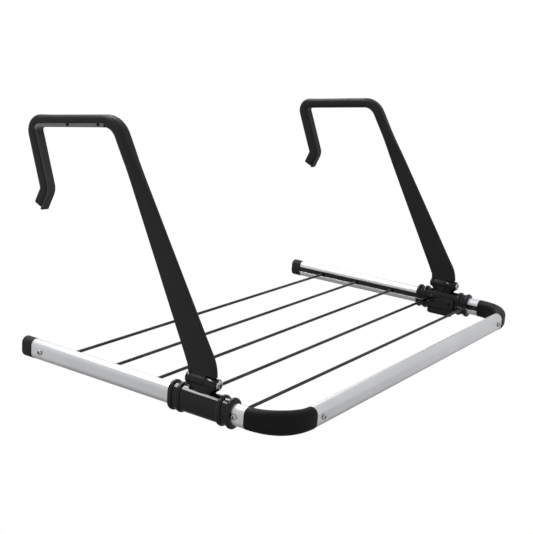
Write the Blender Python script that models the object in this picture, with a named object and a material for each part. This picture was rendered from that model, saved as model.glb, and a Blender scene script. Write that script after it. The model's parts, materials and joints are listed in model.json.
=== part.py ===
"""Fold-flat drying rack that hooks over a rail.

A U of oval aluminium tube carries five steel rods. A clamped collar on each side tube has a hinge on
top, and a hooked arm on each hinge reaches up and back over the rail. The arms fold inwards, flat
over the rods. +X runs along the rods, +Y from the front tube towards the hooks, +Z up. The origin is
on the rail line, midway between the undersides of the two hooks. Lengths are in metres.
"""

import math

import bmesh
import bpy
import numpy as np
from mathutils import Matrix, Vector

# Clearance that touching pieces keep.
GAP = 0.0003

# Frame: every place below is measured from the front tube's axis and the rack's middle plane.
TUBE_SPACING = 0.500
TUBE_HALF_W = 0.0065
TUBE_HALF_H = 0.0103
BORE_HALF_W = 0.0042
BORE_HALF_H = 0.0082
CORNER_RADIUS = 0.0408
TUBE_END_Y = 0.3086
CAP_LENGTH = 0.0146
CAP_ROUNDING = 0.0022
MOULDING_PROUD = 0.0003
SPIGOT_LENGTH = 0.013
ELBOW_BULGE = 0.0008
SIDE_X = TUBE_SPACING / 2

# Rods, and the plastic strip they plug into.
ROD_RADIUS = 0.0016
ROD_PITCH = 0.0541
ROD_COUNT = 5
ROD_FIRST_Y = 0.0543
ROD_HOLE_RADIUS = ROD_RADIUS + GAP
ROD_HALF_LENGTH = SIDE_X - BORE_HALF_W + 0.0002
GROOVE_FLOOR = 0.0050
GROOVE_HALF_H = 0.0030
STRIP_FACE = 0.0067

# Collar: ribs stand out of a plain sleeve that is open along its inner side for the rods.
COLLAR_HALF_W = 0.0085
COLLAR_HALF_H = 0.0129
COLLAR_BORE_GAP = 0.00035
RIB_CENTRES_Y = (0.0567, 0.0673, 0.1143, 0.1235)
RIB_HALF_LENGTH = 0.0024
RIB_RISE_W = 0.0016
RIB_RISE_H = 0.0018
COLLAR_SLOT_HALF_H = 0.0034

# Clamp plate over the collar's slot.
PLATE_Y = (0.0725, 0.1062)
PLATE_THICKNESS = 0.0014
PLATE_TOP_Z = 0.0060
PLATE_BEND_Z = -0.0085
PLATE_LIP_Z = -0.0172
PLATE_LIP_PROUD = 0.0022
PLATE_SHOULDER = 0.0011
PLATE_END_ROUNDING = 0.0026
TONGUE_HALF_H = COLLAR_SLOT_HALF_H - GAP
CLAMP_SCREWS_Y = (0.0778, 0.1010)
CLAMP_SCREW_Z = -0.0008

# Hinge on top of the collar, parallel to the side tube.
HINGE_Y = 0.0913
HINGE_Z = 0.0215
BARREL_RADIUS = 0.0055
PIN_RADIUS = 0.0020
PIN_HOLE_RADIUS = PIN_RADIUS + GAP
FRONT_EAR_Y = (0.0743, 0.0875)
KNUCKLE_Y = (0.0878, 0.1044)
BACK_EAR_Y = (0.1047, 0.1094)
# Foot of the hinge, from the collar up: height, half width, the two ends along Y, and how square it is.
BOSS_LEVELS = (
    (0.0075, 0.0050, 0.0795, 0.1030, 2.0),
    (0.0130, 0.0050, 0.0778, 0.1052, 2.2),
    (0.0160, 0.0050, 0.0755, 0.1082, 3.0),
    (0.0188, 0.0050, 0.0746, 0.1090, 5.0),
)
PIN_HEAD_RADIUS = 0.0044
PIN_HEAD_HEIGHT = 0.0016
NUT_RADIUS = 0.0036
NUT_HEIGHT = 0.0023

# Arm centre line in its own plane, as (y, z), with the radius of each corner between the two ends.
ARM_LEAN = math.radians(1.9)
ARM_LINE = (
    (0.0934, 0.0277),
    (0.0934, 0.0345),
    (0.211995, 0.242013),
    (0.32248, 0.22997),
    (0.29885, 0.16605),
    (0.30634, 0.14999),
)
ARM_CORNER_RADII = (0.024, 0.022, 0.0093, 0.008)
HOOK_THICKNESS = 0.0118
LEG_WIDTH = 0.0141
# Distance along the hook's bar from its outer corner to the rail line.
RAIL_DISTANCE = 0.054576
# Distance from the hinge end, width in the arm's plane, and thickness along X.
ARM_SECTIONS = (
    (0.000, 0.0331, 0.0046),
    (0.018, 0.0300, 0.0046),
    (0.071, 0.0261, 0.0042),
    (0.116, 0.0225, 0.0043),
    (0.156, 0.0191, 0.0050),
    (0.171, 0.0174, 0.0064),
    (0.186, 0.0144, 0.0100),
    (0.202, 0.0125, 0.0126),
    (0.216, HOOK_THICKNESS, 0.0140),
    (0.270, HOOK_THICKNESS, 0.0138),
    (0.338, HOOK_THICKNESS, 0.0126),
    (0.356, LEG_WIDTH, 0.0124),
    (0.430, LEG_WIDTH, 0.0120),
)
SECTION_BLUR = 0.006
SECTION_STEP = 0.010
EDGE_ROUNDING = 0.36

# Grip pad let into the inner face of the hook, open to the arm's outer side.
PAD_BAR_THICKNESS = 0.0041
PAD_LEG_THICKNESS = 0.0026
PAD_WALL = 0.0024
PAD_RECESS = 0.0004
PAD_TIP_OVERHANG = 0.0020
PAD_BEND_SAMPLES = 2
PAD_SCREW_DISTANCES = (0.0040, 0.0440)
PAD_SCREW_INSET = 0.0026
PAD_PILOT_DEPTH = 0.0118
PAD_HOLE_DEPTH = 0.0135

# Screws: head radius, head height, shank radius and shank length.
FRAME_SCREW = (0.0028, 0.0018, 0.0012, 0.0052)
CLAMP_SCREW = (0.0023, 0.0015, 0.0011, 0.0034)
PAD_SCREW = (0.0017, 0.0006, 0.0008, 0.0116)
CORNER_SCREW_Y = 0.0511
FRONT_SCREW_X = 0.1990
CAP_SCREW_Y = 0.2960

ROUND_STEPS = 16
ROD_STEPS = 12
OVAL_STEPS = 8
SHARP_ANGLE = math.radians(35)

SIDES = (("left", -1), ("right", 1))


def clear_scene():
    for obj in list(bpy.data.objects):
        bpy.data.objects.remove(obj, do_unlink=True)


def material(name, color, roughness, metallic):
    mat = bpy.data.materials.new(name)
    mat.use_nodes = True
    shader = mat.node_tree.nodes["Principled BSDF"]
    shader.inputs["Base Color"].default_value = (*color, 1.0)
    shader.inputs["Roughness"].default_value = roughness
    shader.inputs["Metallic"].default_value = metallic
    return mat


def empty(name, location, rotation_y, parent):
    obj = bpy.data.objects.new(name, None)
    bpy.context.collection.objects.link(obj)
    obj.location = location
    obj.rotation_euler = (0.0, rotation_y, 0.0)
    obj.parent = parent
    return obj


def link_mesh(name, shape, parent):
    mesh = bpy.data.meshes.new(name)
    shape.to_mesh(mesh)
    shape.free()
    obj = bpy.data.objects.new(name, mesh)
    bpy.context.collection.objects.link(obj)
    obj.parent = parent
    return obj


def piece(name, shape, mat, parent):
    """A sub-part of the rack."""
    obj = link_mesh(name, shape, parent)
    obj.data.materials.append(mat)
    obj.data.shade_smooth()
    obj.data.set_sharp_from_angle(angle=SHARP_ANGLE)
    return obj


def shape_tool(obj, name, shape, operation):
    """Cuts or adds a hidden shape to an object with a Boolean."""
    tool = link_mesh(f"{obj.name}_{name}", shape, obj.parent)
    tool.hide_render = True
    tool.display_type = "WIRE"
    modifier = obj.modifiers.new(name, "BOOLEAN")
    modifier.operation = operation
    modifier.solver = "EXACT"
    modifier.object = tool


def cut(obj, name, shape):
    shape_tool(obj, name, shape, "DIFFERENCE")


def add(obj, name, shape):
    shape_tool(obj, name, shape, "UNION")


def skin(rings):
    """A closed body over rings that all have the same number of points."""
    shape = bmesh.new()
    rows = [[shape.verts.new(point) for point in ring] for ring in rings]
    count = len(rows[0])
    for near, far in zip(rows, rows[1:]):
        for i in range(count):
            j = (i + 1) % count
            shape.faces.new((near[i], near[j], far[j], far[i]))
    shape.faces.new(rows[0])
    shape.faces.new(rows[-1])
    bmesh.ops.recalc_face_normals(shape, faces=shape.faces)
    return shape


def joined(shapes):
    """One bmesh that holds several separate bodies."""
    whole = bmesh.new()
    for shape in shapes:
        carrier = bpy.data.meshes.new("carrier")
        shape.to_mesh(carrier)
        shape.free()
        whole.from_mesh(carrier)
        bpy.data.meshes.remove(carrier)
    return whole


def turned(shape, matrix):
    bmesh.ops.transform(shape, matrix=matrix, verts=shape.verts)
    bmesh.ops.recalc_face_normals(shape, faces=shape.faces)
    return shape


def box(low, high):
    corners = [(low[0], low[1]), (high[0], low[1]), (high[0], high[1]), (low[0], high[1])]
    return skin([[Vector((x, y, z)) for x, y in corners] for z in (low[2], high[2])])


def oval(half_w, half_h, steps=OVAL_STEPS):
    """Outline with half-round top and bottom and straight sides, as (across, up) pairs."""
    straight = half_h - half_w
    points = []
    for i in range(steps + 1):
        angle = math.pi * i / steps
        points.append((half_w * math.cos(angle), straight + half_w * math.sin(angle)))
    for i in range(steps + 1):
        angle = math.pi + math.pi * i / steps
        points.append((half_w * math.cos(angle), -straight + half_w * math.sin(angle)))
    return points


def rounded_rectangle(half_a, half_b, radius, steps=4):
    points = []
    for quarter, (sign_a, sign_b) in enumerate(((1, 1), (-1, 1), (-1, -1), (1, -1))):
        for i in range(steps + 1):
            angle = math.pi / 2 * (quarter + i / steps)
            a = sign_a * (half_a - radius) + radius * math.cos(angle)
            b = sign_b * (half_b - radius) + radius * math.sin(angle)
            points.append((a, b))
    return points


def squircle(half_a, half_b, power, steps=28):
    """An ellipse at power 2 that grows squarer with the power."""
    points = []
    for i in range(steps):
        turn = 2 * math.pi * i / steps
        a = math.copysign(abs(math.cos(turn)) ** (2 / power), math.cos(turn))
        b = math.copysign(abs(math.sin(turn)) ** (2 / power), math.sin(turn))
        points.append((half_a * a, half_b * b))
    return points


def along_y(outline, x, y0, y1):
    return skin([[Vector((x + a, y, b)) for a, b in outline] for y in (y0, y1)])


def along_x(outline, y, x0, x1):
    return skin([[Vector((x, y + a, b)) for a, b in outline] for x in (x0, x1)])


def revolved(profile, steps=ROUND_STEPS):
    """Turns (radius, height) pairs about +Z."""
    rings = []
    for radius, height in profile:
        turns = [2 * math.pi * i / steps for i in range(steps)]
        rings.append([Vector((radius * math.cos(t), radius * math.sin(t), height)) for t in turns])
    return skin(rings)


def axis_matrix(origin, direction):
    """Carries +Z to a direction and the origin to a point."""
    turn = Vector((0, 0, 1)).rotation_difference(Vector(direction)).to_matrix().to_4x4()
    return Matrix.Translation(Vector(origin)) @ turn


def rod_shape(radius, start, end, steps=ROUND_STEPS):
    start = Vector(start)
    length = (Vector(end) - start).length
    shape = revolved(((radius, 0.0), (radius, length)), steps)
    return turned(shape, axis_matrix(start, Vector(end) - start))


def screw_shape(seat, outward, size):
    """Pan-head screw whose head sits on a seat and faces outward."""
    head_r, head_h, shank_r, shank_length = size
    profile = (
        (shank_r * 0.4, -shank_length),
        (shank_r, -shank_length + shank_r),
        (shank_r, 0.0),
        (head_r, 0.0),
        (head_r, head_h * 0.35),
        (head_r * 0.85, head_h * 0.75),
        (head_r * 0.5, head_h),
    )
    return turned(revolved(profile), axis_matrix(seat, outward))


def cross_recess(seat, outward, size):
    """Plus-shaped driver recess in a screw's head."""
    head_r, head_h = size[0], size[1]
    arm = head_r * 0.55
    half = head_r * 0.14
    outline = [
        (arm, -half), (arm, half), (half, half), (half, arm), (-half, arm), (-half, half),
        (-arm, half), (-arm, -half), (-half, -half), (-half, -arm), (half, -arm), (half, -half),
    ]
    rings = [[Vector((a, b, z)) for a, b in outline] for z in (head_h * 0.45, head_h * 1.5)]
    return turned(skin(rings), axis_matrix(seat, outward))


def build_screw(name, place, size, mat, parent):
    screw = piece(name, screw_shape(*place, size), mat, parent)
    cut(screw, "recess", cross_recess(*place, size))


def rod_places():
    return [ROD_FIRST_Y + ROD_PITCH * i for i in range(ROD_COUNT)]


def screw_hole(seat, outward, size, depth):
    radius = size[2] + GAP
    seat = Vector(seat)
    outward = Vector(outward)
    return rod_shape(radius, seat - outward * depth, seat + outward * 0.002)


def build_frame_screws(label, side, mat, root):
    """One screw through each joint of a side tube with its elbow and cap, and one in the front tube."""
    seat = TUBE_HALF_W + GAP
    places = (
        ("corner", (side * (SIDE_X + seat), CORNER_SCREW_Y, 0), (side, 0, 0)),
        ("cap", (side * (SIDE_X + seat), CAP_SCREW_Y, 0), (side, 0, 0)),
        ("front", (side * FRONT_SCREW_X, -seat, 0), (0, -1, 0)),
    )
    for name, spot, outward in places:
        build_screw(f"{name}_screw_{label}", (spot, outward), FRAME_SCREW, mat, root)


def rod_holes(side, inner_face, outer_face):
    return joined([
        rod_shape(ROD_HOLE_RADIUS, (side * inner_face, y, 0), (side * outer_face, y, 0), ROD_STEPS)
        for y in rod_places()
    ])


def build_side_tube(label, side, mat, root):
    x = side * SIDE_X
    start, end = CORNER_RADIUS + GAP / 2, TUBE_END_Y - GAP / 2
    tube = piece(f"side_tube_{label}", along_y(oval(TUBE_HALF_W, TUBE_HALF_H), x, start, end), mat, root)
    cut(tube, "bore", along_y(oval(BORE_HALF_W, BORE_HALF_H), x, start - 0.01, end + 0.01))
    inner = (x - side * 0.008, x - side * GROOVE_FLOOR)
    low = (min(inner), start - 0.01, -GROOVE_HALF_H)
    high = (max(inner), end + 0.01, GROOVE_HALF_H)
    cut(tube, "groove", box(low, high))
    cut(tube, "rod_holes", rod_holes(side, SIDE_X - 0.009, SIDE_X - 0.001))
    seats = [((side * (SIDE_X + TUBE_HALF_W), y, 0), (side, 0, 0)) for y in (CORNER_SCREW_Y, CAP_SCREW_Y)]
    cut(tube, "screw_holes", joined([screw_hole(*seat, FRAME_SCREW, 0.004) for seat in seats]))


def build_rod_strip(label, side, mat, root):
    start, end = CORNER_RADIUS + GAP / 2, TUBE_END_Y - GAP / 2
    faces = (side * (SIDE_X - STRIP_FACE), side * (SIDE_X - GROOVE_FLOOR - GAP))
    half_h = GROOVE_HALF_H - GAP
    shape = box((min(faces), start, -half_h), (max(faces), end, half_h))
    strip = piece(f"rod_strip_{label}", shape, mat, root)
    cut(strip, "rod_holes", rod_holes(side, SIDE_X - 0.009, SIDE_X - 0.001))


def build_front_tube(mat, root):
    half = SIDE_X - CORNER_RADIUS - GAP / 2
    tube = piece("front_tube", along_x(oval(TUBE_HALF_W, TUBE_HALF_H), 0.0, -half, half), mat, root)
    cut(tube, "bore", along_x(oval(BORE_HALF_W, BORE_HALF_H), 0.0, -half - 0.01, half + 0.01))
    seats = [((side * FRONT_SCREW_X, -TUBE_HALF_W, 0), (0, -1, 0)) for _, side in SIDES]
    cut(tube, "screw_holes", joined([screw_hole(*seat, FRAME_SCREW, 0.004) for seat in seats]))


def build_rods(mat, root):
    for number, y in enumerate(rod_places(), start=1):
        shape = rod_shape(ROD_RADIUS, (-ROD_HALF_LENGTH, y, 0), (ROD_HALF_LENGTH, y, 0), ROD_STEPS)
        piece(f"rod_{number}", shape, mat, root)


def build_elbow(label, side, mat, root):
    centre = Vector((side * (SIDE_X - CORNER_RADIUS), CORNER_RADIUS, 0))
    rings = []
    steps = 12
    for i in range(steps + 1):
        angle = math.pi / 2 * i / steps
        outwards = Vector((side * math.cos(angle), -math.sin(angle), 0))
        proud = MOULDING_PROUD + ELBOW_BULGE * math.sin(2 * angle) ** 2
        outline = oval(TUBE_HALF_W + proud, TUBE_HALF_H + proud)
        rings.append([centre + outwards * (CORNER_RADIUS + a) + Vector((0, 0, b)) for a, b in outline])
    elbow = piece(f"elbow_{label}", skin(rings), mat, root)
    spigot = oval(BORE_HALF_W - GAP, BORE_HALF_H - GAP)
    x = side * SIDE_X
    add(elbow, "side_spigot", along_y(spigot, x, CORNER_RADIUS - 0.002, CORNER_RADIUS + SPIGOT_LENGTH))
    inner = side * (SIDE_X - CORNER_RADIUS - SPIGOT_LENGTH)
    outer = side * (SIDE_X - CORNER_RADIUS + 0.002)
    add(elbow, "front_spigot", along_x(spigot, 0.0, min(inner, outer), max(inner, outer)))
    seats = (
        ((side * (SIDE_X + TUBE_HALF_W), CORNER_SCREW_Y, 0), (side, 0, 0)),
        ((side * FRONT_SCREW_X, -TUBE_HALF_W, 0), (0, -1, 0)),
    )
    cut(elbow, "pilots", joined([screw_hole(*seat, FRAME_SCREW, 0.0065) for seat in seats]))


def build_end_cap(label, side, mat, root):
    x = side * SIDE_X
    half_w = TUBE_HALF_W + MOULDING_PROUD
    half_h = TUBE_HALF_H + MOULDING_PROUD
    stations = [(TUBE_END_Y + GAP / 2, 0.0)]
    fillet_steps = 4
    for i in range(fillet_steps + 1):
        angle = math.pi / 2 * i / fillet_steps
        y = TUBE_END_Y + CAP_LENGTH - CAP_ROUNDING * (1 - math.sin(angle))
        stations.append((y, CAP_ROUNDING * (1 - math.cos(angle))))
    rings = []
    for y, inset in stations:
        rings.append([Vector((x + a, y, b)) for a, b in oval(half_w - inset, half_h - inset)])
    cap = piece(f"end_cap_{label}", skin(rings), mat, root)
    spigot = oval(BORE_HALF_W - GAP, BORE_HALF_H - GAP)
    start = TUBE_END_Y - SPIGOT_LENGTH - 0.003
    add(cap, "spigot", along_y(spigot, x, start, TUBE_END_Y + 0.003))
    seat = ((side * (SIDE_X + TUBE_HALF_W), CAP_SCREW_Y, 0), (side, 0, 0))
    cut(cap, "pilot", screw_hole(*seat, FRAME_SCREW, 0.0065))


def collar_stations():
    """Places along Y with the height of the rib there, from 0 to 1."""
    stations = []
    for centre in RIB_CENTRES_Y:
        for i in range(7):
            angle = math.pi * i / 6
            stations.append((centre - RIB_HALF_LENGTH * math.cos(angle), math.sin(angle)))
    return stations


def barrel(y0, y1, radius=BARREL_RADIUS):
    """A length of the hinge barrel, about the hinge axis."""
    return rod_shape(radius, (0, y0, 0), (0, y1, 0))


def build_collar(label, side, mat, root):
    x = side * SIDE_X
    rings = []
    for y, rise in collar_stations():
        outline = oval(COLLAR_HALF_W + RIB_RISE_W * rise, COLLAR_HALF_H + RIB_RISE_H * rise)
        rings.append([Vector((x + a, y, b)) for a, b in outline])
    collar = piece(f"collar_{label}", skin(rings), mat, root)

    boss = []
    for z, half_x, y0, y1, power in BOSS_LEVELS:
        outline = squircle(half_x, (y1 - y0) / 2, power)
        boss.append([Vector((x + a, (y0 + y1) / 2 + b, z)) for a, b in outline])
    add(collar, "boss", skin(boss))

    axis = Matrix.Translation((x, 0, HINGE_Z))
    for name, ear in (("front_ear", FRONT_EAR_Y), ("back_ear", BACK_EAR_Y)):
        add(collar, name, turned(barrel(*ear), axis))
    relief = barrel(FRONT_EAR_Y[1], BACK_EAR_Y[0], BARREL_RADIUS + GAP)
    cut(collar, "knuckle_gap", turned(relief, axis))
    cut(collar, "pin_hole", turned(barrel(0.06, 0.12, PIN_HOLE_RADIUS), axis))
    pocket = barrel(BACK_EAR_Y[1] - NUT_HEIGHT - GAP, 0.115, NUT_RADIUS + GAP)
    cut(collar, "nut_pocket", turned(pocket, axis))

    bore = oval(TUBE_HALF_W + COLLAR_BORE_GAP, TUBE_HALF_H + COLLAR_BORE_GAP)
    cut(collar, "bore", along_y(bore, x, 0.04, 0.14))
    slot_faces = (x - side * 0.002, x - side * 0.014)
    slot_low = (min(slot_faces), 0.04, -COLLAR_SLOT_HALF_H)
    slot_high = (max(slot_faces), 0.14, COLLAR_SLOT_HALF_H)
    cut(collar, "slot", box(slot_low, slot_high))


def clamp_screw_places(side):
    seat = COLLAR_HALF_W + GAP + PLATE_THICKNESS + GAP
    return [((side * (SIDE_X - seat), y, CLAMP_SCREW_Z), (-side, 0, 0)) for y in CLAMP_SCREWS_Y]


def plate_outline(inset):
    """Plate with a round-edged lip, as (distance in from the tube's axis, height) pairs.

    The inset pulls the top and the lip in.
    """
    back = COLLAR_HALF_W + GAP
    face = back + PLATE_THICKNESS
    lip = face + PLATE_LIP_PROUD
    top = PLATE_TOP_Z - inset
    outline = [(back, top), (face - 0.0008, top), (face, top - 0.0010)]
    outline += [(face, PLATE_BEND_Z), (lip, PLATE_BEND_Z - PLATE_SHOULDER)]
    radius = (lip - back) / 2
    low = PLATE_LIP_Z + radius + inset
    for i in range(7):
        angle = math.pi * i / 6
        outline.append((back + radius * (1 + math.cos(angle)), low - radius * math.sin(angle)))
    return outline


def build_clamp_plate(label, side, mat, screw_mat, root):
    back = COLLAR_HALF_W + GAP
    steps = 3
    rings = []
    for i in range(steps + 1):
        angle = math.pi / 2 * i / steps
        place = PLATE_END_ROUNDING * (1 - math.cos(angle))
        inset = PLATE_END_ROUNDING * (1 - math.sin(angle))
        rings.insert(i, (PLATE_Y[0] + place, inset))
        rings.insert(i + 1, (PLATE_Y[1] - place, inset))
    rings = [
        [Vector((side * (SIDE_X - a), y, b)) for a, b in plate_outline(inset)]
        for y, inset in sorted(rings)
    ]
    plate = piece(f"clamp_plate_{label}", skin(rings), mat, root)
    tongue = (side * (SIDE_X - STRIP_FACE - 0.0005), side * (SIDE_X - back - 0.001))
    low = (min(tongue), PLATE_Y[0] + 0.001, -TONGUE_HALF_H)
    high = (max(tongue), PLATE_Y[1] - 0.001, TONGUE_HALF_H)
    add(plate, "tongue", box(low, high))
    seats = clamp_screw_places(side)
    cut(plate, "screw_holes", joined([screw_hole(*seat, CLAMP_SCREW, 0.006) for seat in seats]))
    for name, seat in zip(("front", "back"), seats):
        build_screw(f"clamp_screw_{name}_{label}", seat, CLAMP_SCREW, screw_mat, root)


def build_hinge_screw(label, side, mat, root):
    """Pivot screw: head on the front ear, shank through the knuckle to the nut."""
    length = BACK_EAR_Y[1] - FRONT_EAR_Y[0] + GAP
    size = (PIN_HEAD_RADIUS, PIN_HEAD_HEIGHT, PIN_RADIUS, length)
    seat = (side * SIDE_X, FRONT_EAR_Y[0] - GAP, HINGE_Z)
    build_screw(f"hinge_screw_{label}", (seat, (0, -1, 0)), size, mat, root)


def build_hinge_nut(label, side, mat, root):
    seat = (side * SIDE_X, BACK_EAR_Y[1] - NUT_HEIGHT, HINGE_Z)
    shape = revolved(((NUT_RADIUS, 0), (NUT_RADIUS, NUT_HEIGHT)), 6)
    nut = piece(f"hinge_nut_{label}", turned(shape, axis_matrix(seat, (0, 1, 0))), mat, root)
    hole = turned(barrel(0.100, 0.115, PIN_HOLE_RADIUS), Matrix.Translation((side * SIDE_X, 0, HINGE_Z)))
    cut(nut, "thread", hole)


def arm_path():
    """Samples of the rounded centre line: point, tangent and distance from the hinge end."""
    corners = [Vector((y - HINGE_Y, z - HINGE_Z)) for y, z in ARM_LINE]
    samples = [(corners[0], (corners[1] - corners[0]).normalized())]
    for i, radius in enumerate(ARM_CORNER_RADII, start=1):
        before = (corners[i] - corners[i - 1]).normalized()
        after = (corners[i + 1] - corners[i]).normalized()
        turn = before.angle_signed(after)
        reach = radius * math.tan(abs(turn) / 2)
        entry = corners[i] - before * reach
        straight = (entry - samples[-1][0]).length
        lengths = max(1, round(straight / SECTION_STEP)) if i <= 2 else 1
        start = samples[-1][0]
        for k in range(1, lengths):
            samples.append((start.lerp(entry, k / lengths), before))
        # The centre of the arc lies on the side that the line turns to.
        side = 1 if turn < 0 else -1
        centre = entry + Vector((-before.y, before.x)) * radius * side
        steps = max(3, round(math.degrees(abs(turn)) / 9))
        for k in range(steps + 1):
            angle = abs(turn) * k / steps * side
            turn_by = Matrix.Rotation(angle, 2)
            samples.append((centre + turn_by @ (entry - centre), turn_by @ before))
    last = corners[-1]
    samples.append((last, (last - corners[-2]).normalized()))
    distance = 0.0
    path = [(samples[0][0], samples[0][1], 0.0)]
    for (point, _), (following, tangent) in zip(samples, samples[1:]):
        distance += (following - point).length
        path.append((following, tangent, distance))
    return path


def section_at(distance):
    """Width in the arm's plane and thickness along X, eased over a short length."""
    places, widths, thicknesses = zip(*ARM_SECTIONS)
    around = distance + SECTION_BLUR * np.linspace(-1, 1, 7)
    width = float(np.interp(around, places, widths).mean())
    thickness = float(np.interp(around, places, thicknesses).mean())
    return width, thickness


def to_inner_side(tangent):
    """Unit vector from the centre line to the side that faces the rail."""
    return Vector((tangent.y, -tangent.x))


def bar_start_index(path):
    """Index of the first sample on the straight bar of the hook, past the big bend."""
    heights = [point.y for point, _, _ in path]
    top = heights.index(max(heights))
    slope = (Vector(ARM_LINE[3]) - Vector(ARM_LINE[2])).normalized()
    for i in range(top, len(path)):
        if path[i][1].dot(slope) > 0.9999:
            return i
    return top


def pad_thickness(point):
    """The pad is thick under the bar and thinner down the leg."""
    bar_end = Vector(ARM_LINE[3]) - Vector((HINGE_Y, HINGE_Z))
    drop = bar_end.y - point.y
    return PAD_BAR_THICKNESS if drop < HOOK_THICKNESS * 0.5 else PAD_LEG_THICKNESS


def pad_rings(path, side, proud, outer_reach, inner_reach, start_shift, end_shift):
    """Rectangular sections along the hook's inner face.

    proud grows the section past the face and away from it, outer_reach and inner_reach are its
    limits along X measured outward, and the shifts move its two ends along the path.
    """
    rings = []
    last = len(path) - 1
    first = bar_start_index(path) - PAD_BEND_SAMPLES
    for i in range(first, last + 1):
        point, tangent, distance = path[i]
        width, thickness = section_at(distance)
        inner = to_inner_side(tangent)
        place = point.copy()
        if i == first:
            place -= tangent * start_shift
        if i == last:
            place += tangent * end_shift
        near = width / 2 - pad_thickness(point) - proud[0]
        far = width / 2 + proud[1]
        inner_x = -(thickness / 2 - PAD_WALL) - inner_reach
        outer_x = thickness / 2 + outer_reach
        ring = []
        for u, depth in ((inner_x, near), (outer_x, near), (outer_x, far), (inner_x, far)):
            spot = place + inner * depth
            ring.append(Vector((side * u, spot.x, spot.y)))
        rings.append(ring)
    return rings


def pad_screw_places(path, side, sink):
    """Screws enter the pad's outer edge, under the bar."""
    point, tangent, distance = path[bar_start_index(path)]
    inner = to_inner_side(tangent)
    places = []
    for along in PAD_SCREW_DISTANCES:
        width, thickness = section_at(distance + along)
        spot = point + tangent * along + inner * (width / 2 - PAD_SCREW_INSET)
        places.append(((side * (thickness / 2 - sink), spot.x, spot.y), (side, 0, 0)))
    return places


def build_arm(label, side, mat, hinge):
    path = arm_path()
    rings = []
    for point, tangent, distance in path:
        width, thickness = section_at(distance)
        inner = to_inner_side(tangent)
        radius = EDGE_ROUNDING * min(width, thickness)
        ring = []
        for across, along in rounded_rectangle(thickness / 2, width / 2, radius):
            spot = point + inner * along
            ring.append(Vector((side * across, spot.x, spot.y)))
        rings.append(ring)
    arm = piece(f"hook_arm_{label}", skin(rings), mat, hinge)
    knuckle_y = [y - HINGE_Y for y in KNUCKLE_Y]
    add(arm, "knuckle", barrel(*knuckle_y))
    web = section_at(0.0)[1] / 2 - 0.0002
    base = ARM_LINE[0][1] - HINGE_Z
    add(arm, "web", box((-web, knuckle_y[0], 0.0), (web, knuckle_y[1], base + 0.002)))
    cut(arm, "pin_hole", barrel(-0.03, 0.03, PIN_HOLE_RADIUS))
    channel = pad_rings(path, side, (GAP, 0.0015), 0.006, GAP, GAP, 0.006)
    cut(arm, "pad_channel", skin(channel))
    holes = [screw_hole(*place, PAD_SCREW, PAD_PILOT_DEPTH) for place in pad_screw_places(path, side, 0.0)]
    cut(arm, "screw_holes", joined(holes))


def build_pad(label, side, mat, screw_mat, hinge):
    path = arm_path()
    shape = skin(pad_rings(path, side, (0, 0), -PAD_RECESS, 0, 0, PAD_TIP_OVERHANG))
    pad = piece(f"grip_pad_{label}", shape, mat, hinge)
    places = pad_screw_places(path, side, PAD_RECESS - GAP)
    holes = [screw_hole(*place, PAD_SCREW, PAD_HOLE_DEPTH) for place in places]
    cut(pad, "screw_holes", joined(holes))
    for name, place in zip(("front", "back"), places):
        build_screw(f"pad_screw_{name}_{label}", place, PAD_SCREW, screw_mat, hinge)


def rail_line():
    """Where the rail lies under the hook's bar, in the frame's own places."""
    start = Vector(ARM_LINE[2])
    tangent = (Vector(ARM_LINE[3]) - start).normalized()
    spot = start + tangent * RAIL_DISTANCE + to_inner_side(tangent) * HOOK_THICKNESS / 2
    height = HINGE_Z + (spot.y - HINGE_Z) * math.cos(ARM_LEAN)
    return Vector((0, spot.x, height))


def main():
    clear_scene()
    aluminium = material("satin_aluminium", (0.78, 0.79, 0.80), 0.32, 1.0)
    steel = material("dark_steel", (0.26, 0.24, 0.22), 0.35, 1.0)
    bright_steel = material("bright_steel", (0.62, 0.61, 0.60), 0.25, 1.0)
    satin_black = material("satin_black", (0.030, 0.031, 0.034), 0.42, 0.0)
    gloss_black = material("gloss_black", (0.018, 0.018, 0.020), 0.12, 0.0)
    black_steel = material("black_steel", (0.060, 0.058, 0.056), 0.35, 1.0)
    grained_black = material("grained_black", (0.040, 0.040, 0.042), 0.60, 0.0)
    pad_grey = material("pad_grey", (0.20, 0.19, 0.19), 0.75, 0.0)

    root = empty("rack_axis", -rail_line(), 0.0, None)
    build_front_tube(aluminium, root)
    build_rods(steel, root)
    for label, side in SIDES:
        build_side_tube(label, side, aluminium, root)
        build_rod_strip(label, side, grained_black, root)
        build_elbow(label, side, satin_black, root)
        build_end_cap(label, side, grained_black, root)
        build_collar(label, side, gloss_black, root)
        build_clamp_plate(label, side, gloss_black, black_steel, root)
        build_hinge_screw(label, side, bright_steel, root)
        build_hinge_nut(label, side, bright_steel, root)
        build_frame_screws(label, side, bright_steel, root)
        hinge = empty(f"hinge_axis_{label}", (side * SIDE_X, HINGE_Y, HINGE_Z), -side * ARM_LEAN, root)
        build_arm(label, side, satin_black, hinge)
        build_pad(label, side, pad_grey, black_steel, hinge)


main()
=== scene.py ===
"""Looks for the fold-flat drying rack that hooks over a rail.

Every CAD node is shown by a finer piece of the same shape: smooth tubes and mouldings, rounded rims,
recessed screw heads and grooved grip pads, each with a procedural material. Lengths are in metres.
Shapes are drawn in the rack's own places, measured from the front tube's axis, the side tubes' height
and the middle plane, and those of an arm from its hinge.
"""

import json
import math

import bmesh
import bpy
import numpy as np
from mathutils import Matrix, Vector

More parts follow.
